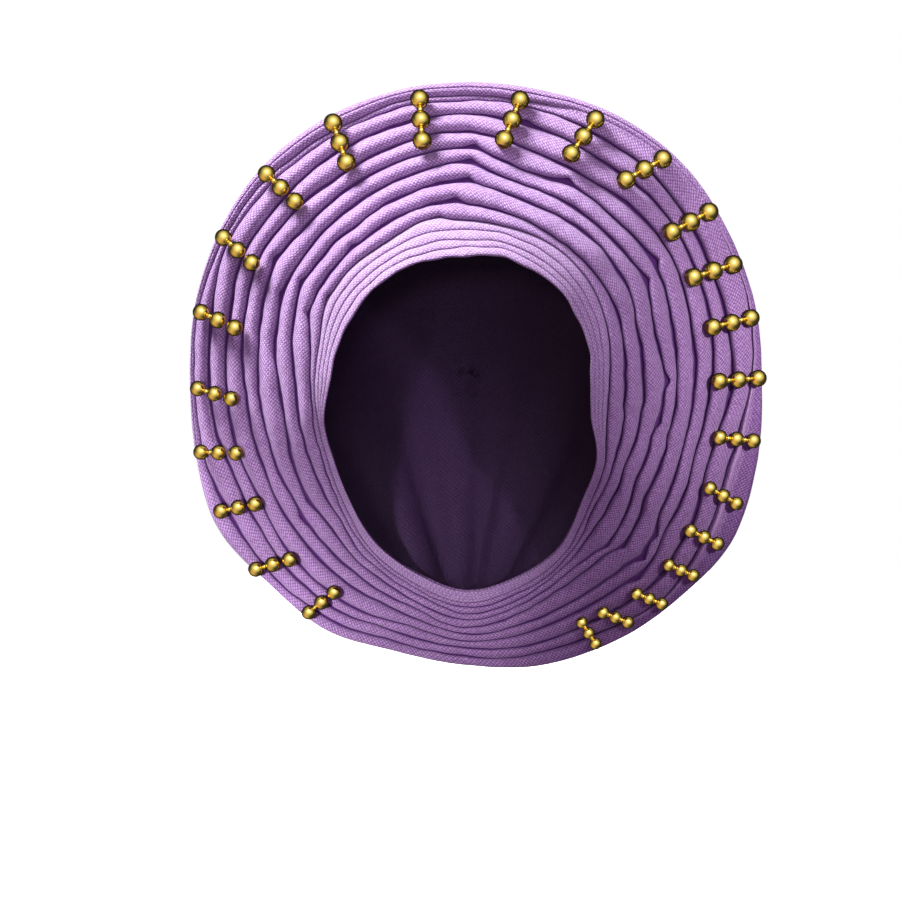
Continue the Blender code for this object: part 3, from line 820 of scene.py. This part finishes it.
def bead_tree():
    """Beads threaded from one point to another, with a small collar between them."""
    tree = bpy.data.node_groups.new("Threaded beads", "GeometryNodeTree")
    face = tree.interface
    sockets = (
        ("Outer", "NodeSocketVector"),
        ("Inner", "NodeSocketVector"),
        ("Bead radius", "NodeSocketFloat"),
        ("Collar radius", "NodeSocketFloat"),
        ("Collars", "NodeSocketInt"),
        ("Gold", "NodeSocketMaterial"),
    )
    for name, kind in sockets:
        face.new_socket(name, in_out="INPUT", socket_type=kind)
    face.new_socket("Beads", in_out="OUTPUT", socket_type="NodeSocketGeometry")
    wire = Nodes(tree)
    given = wire.add("NodeGroupInput").outputs
    axis = wire.vector("SUBTRACT", given["Inner"], given["Outer"])
    turn = wire.add("FunctionNodeAlignEulerToVector", {"axis": "Z"}, {"Vector": axis})

    def strung(mode, count, start, offset, segments, rings, radius, size=(1.0, 1.0, 1.0)):
        """Balls at equal steps on the thread. With END_POINTS the offset is the last one's place."""
        line = {"Count": count, "Start Location": start, "Offset": offset}
        ball = {"Segments": segments, "Rings": rings, "Radius": radius}
        copies = {
            "Points": wire.add("GeometryNodeMeshLine", {"mode": mode}, line),
            "Instance": wire.add("GeometryNodeMeshUVSphere", (), ball),
            "Rotation": turn,
            "Scale": size,
        }
        return wire.add("GeometryNodeInstanceOnPoints", (), copies)

    ends = (given["Outer"], given["Inner"])
    beads = strung("END_POINTS", BEADS_ON_A_BAR, *ends, 28, 18, given["Bead radius"])
    quarter = wire.vector("MULTIPLY_ADD", axis, (0.25, 0.25, 0.25), given["Outer"])
    half = wire.scaled(axis, 0.5)
    size = (1.0, 1.0, COLLAR_STRETCH)
    collars = strung("OFFSET", given["Collars"], quarter, half, 16, 10, given["Collar radius"], size)
    both = wire.add("GeometryNodeJoinGeometry")
    wire.plug(both, "i0", beads)
    wire.plug(both, "i0", collars)
    real = wire.add("GeometryNodeRealizeInstances", (), {"i0": both})
    soft = wire.add("GeometryNodeSetShadeSmooth", (), {"i0": real})
    painted = wire.add("GeometryNodeSetMaterial", (), {"i0": soft, "Material": given["Gold"]})
    wire.add("NodeGroupOutput", (), {"i0": painted})
    return tree


def place_of_bar(node):
    """The outer and the inner bead's centre and the bead's radius, read off the CAD bar."""
    points = np.array([v.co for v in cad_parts[node].data.vertices])
    centre = points.mean(axis=0)
    far = points[np.argmax(np.linalg.norm(points - centre, axis=1))]
    other = points[np.argmax(np.linalg.norm(points - far, axis=1))]
    along = (other - far) / np.linalg.norm(other - far)
    off_axis = np.linalg.norm(np.cross(points - far, along), axis=1)
    radius = off_axis.max()
    ends = [far + along * radius, other - along * radius]
    ends.sort(key=lambda p: -np.hypot(p[0] - CLOCK_CENTRE[0], p[2] - CLOCK_CENTRE[2]))
    return Vector(ends[0]), Vector(ends[1]), float(radius)


polished_gold = gold()
threaded = bead_tree()
ids = {item.name: item.identifier for item in threaded.interface.items_tree if item.in_out == "INPUT"}
for number in range(1, BARS + 1):
    node = f"bead_bar_{number:02d}"
    outer, inner, radius = place_of_bar(node)
    bar = bpy.data.objects.new(f"beads_{number:02d}", bpy.data.meshes.new(node))
    bpy.context.collection.objects.link(bar)
    threading = bar.modifiers.new("Threaded beads", "NODES")
    threading.node_group = threaded
    threading[ids["Outer"]] = outer
    threading[ids["Inner"]] = inner
    threading[ids["Bead radius"]] = radius
    threading[ids["Collar radius"]] = COLLAR_SHARE * radius
    threading[ids["Collars"]] = 1 if number in BARS_WITH_A_LONE_BEAD else 2
    threading[ids["Gold"]] = polished_gold
    seen = bar.evaluated_get(bpy.context.evaluated_depsgraph_get())
    made = bpy.data.meshes.new_from_object(seen)
    bar.modifiers.remove(threading)
    bar.data = made
    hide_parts(node)
    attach(bar, "root")

# Floor, light and camera
# A pale seamless floor, one broad soft lamp high on the left with weak ones from behind, the
# front and close to the cloth, and the photograph's long lens.

FLOOR_HEIGHT = -0.40
FLOOR_RADIUS = 14.0
PAPER_LOOKS = {
    "Base Color": (0.9, 0.9, 0.9, 1.0),
    "Roughness": 1.0,
    "Specular IOR Level": 0.0,
    "Emission Color": (1.0, 1.0, 1.0, 1.0),
    "Emission Strength": 0.30,
}

build = bmesh.new()
bmesh.ops.create_circle(build, cap_ends=True, segments=96, radius=FLOOR_RADIUS)
floor_mesh = bpy.data.meshes.new("floor")
build.to_mesh(floor_mesh)
build.free()
floor = bpy.data.objects.new("floor", floor_mesh)
floor.location = (0.0, 0.0, FLOOR_HEIGHT)
bpy.context.collection.objects.link(floor)
paper = bpy.data.materials.new("pale_floor")
paper.use_nodes = True
for look, value in PAPER_LOOKS.items():
    paper.node_tree.nodes["Principled BSDF"].inputs[look].default_value = value
floor_mesh.materials.append(paper)
floor.visible_diffuse = False
floor.visible_glossy = False


def lamp(name, kind, place, toward, strength, softness, tint):
    """A lamp without glints of its own. A sun's place is the way to it, a spot's is in metres."""
    light = bpy.data.lights.new(name, kind)
    light.energy = strength
    light.color = tint
    if kind == "SUN":
        light.angle = math.radians(softness)
    else:
        light.spot_size = math.radians(softness)
        light.spot_blend = 1.0
        light.shadow_soft_size = 0.08
    thing = bpy.data.objects.new(name, light)
    thing.location = place
    thing.rotation_mode = "QUATERNION"
    thing.rotation_quaternion = (Vector(place) - Vector(toward)).to_track_quat("Z", "Y")
    thing.visible_glossy = False
    bpy.context.collection.objects.link(thing)


WHITE = (1.0, 1.0, 1.0)
ORIGIN = (0.0, 0.0, 0.0)
# The name and kind, where it stands or comes from, what it points at, its strength, its spread
# in degrees and its tint
LAMPS = (
    ("key", "SUN", (-0.50, -0.27, 0.82), ORIGIN, 8.3, 24.0, WHITE),
    ("back", "SUN", (0.35, 1.00, 0.45), ORIGIN, 1.5, 50.0, WHITE),
    ("front", "SUN", (0.05, -1.00, 0.15), ORIGIN, 0.14, 60.0, (1.0, 0.50, 1.0)),
    ("right fill", "SPOT", (0.80, -1.60, 0.15), (0.162, -0.004, -0.064), 136.0, 9.8, (1.0, 0.88, 1.0)),
    ("top fill", "SPOT", (-0.10, -1.75, 0.05), (-0.040, -0.05, 0.020), 46.0, 9.0, (1.0, 0.92, 1.0)),
    ("lower fill", "SPOT", (-0.62, -1.70, -0.34), (-0.105, 0.03, -0.205), 245.0, 7.2, (1.0, 0.92, 1.0)),
)
for values in LAMPS:
    lamp(*values)

# What the cloth and the beads reflect: a bright card in front and above, a warm bounce from
# below on the left, and a dim room
CARD_WAY = (0.10, -0.88, 0.46)
CARD_TIGHTNESS = 70.0
CARD_STRENGTH = 14.0
BOUNCE_WAY = (-0.62, -0.30, -0.72)
BOUNCE_STRENGTH = 0.8
WARM_BOUNCE = (1.0, 0.66, 0.36, 1.0)
ROOM_STRENGTH = 1.45
ROOM_LEAST = 0.05
SOFT_LIGHT_TINT = (0.80, 0.32, 1.0, 1.0)
SOFT_LIGHT_STRENGTH = 0.12

world = bpy.data.worlds.new("studio")
bpy.context.scene.world = world
world.use_nodes = True
wire = Nodes(world.node_tree)
sight = wire.add("ShaderNodeLightPath")
direction = wire.add("ShaderNodeTexCoord").outputs["Generated"]


def facing(way, power):
    """How squarely a direction of the world points this way, raised to a power."""
    squarely = wire.vector("DOT_PRODUCT", direction, way).outputs["Value"]
    return wire.calc("POWER", wire.calc("MAXIMUM", squarely, 0.0), power)


def background(colour, strength):
    return wire.add("ShaderNodeBackground", (), {"Color": colour, "Strength": strength})


def either(switch, otherwise, then):
    return wire.add("ShaderNodeMixShader", (), {"i0": switch, "i1": otherwise, "i2": then})


card = wire.calc("MULTIPLY", facing(CARD_WAY, CARD_TIGHTNESS), CARD_STRENGTH)
bounced = facing(BOUNCE_WAY, 4.0)
room = wire.calc("MULTIPLY_ADD", facing(CARD_WAY, 1.6), ROOM_STRENGTH, ROOM_LEAST)
glow = wire.calc("ADD", card, wire.calc("MULTIPLY_ADD", bounced, BOUNCE_STRENGTH, room))
reflected = background(wire.blend(bounced, (*WHITE, 1.0), WARM_BOUNCE), glow)
straight = wire.calc("LESS_THAN", sight.outputs["Diffuse Depth"], 0.5)
glossy = wire.calc("MULTIPLY", sight.outputs["Is Glossy Ray"], straight)
lit = either(glossy, background(SOFT_LIGHT_TINT, SOFT_LIGHT_STRENGTH), reflected)
seen_white = either(sight.outputs["Is Camera Ray"], lit, background((*WHITE, 1.0), 1.0))
wire.add("ShaderNodeOutputWorld", (), {"Surface": seen_white})

lens = bpy.data.cameras.new("camera")
lens.lens = 320.0
lens.sensor_width = 36.0
lens.clip_end = 60.0
camera = bpy.data.objects.new("camera", lens)
camera.location = (-0.010, -4.0, -0.1275)
camera.rotation_euler = (math.radians(90.0), 0.0, 0.0)
bpy.context.collection.objects.link(camera)
bpy.context.scene.camera = camera
bpy.context.scene.view_settings.view_transform = "Standard"
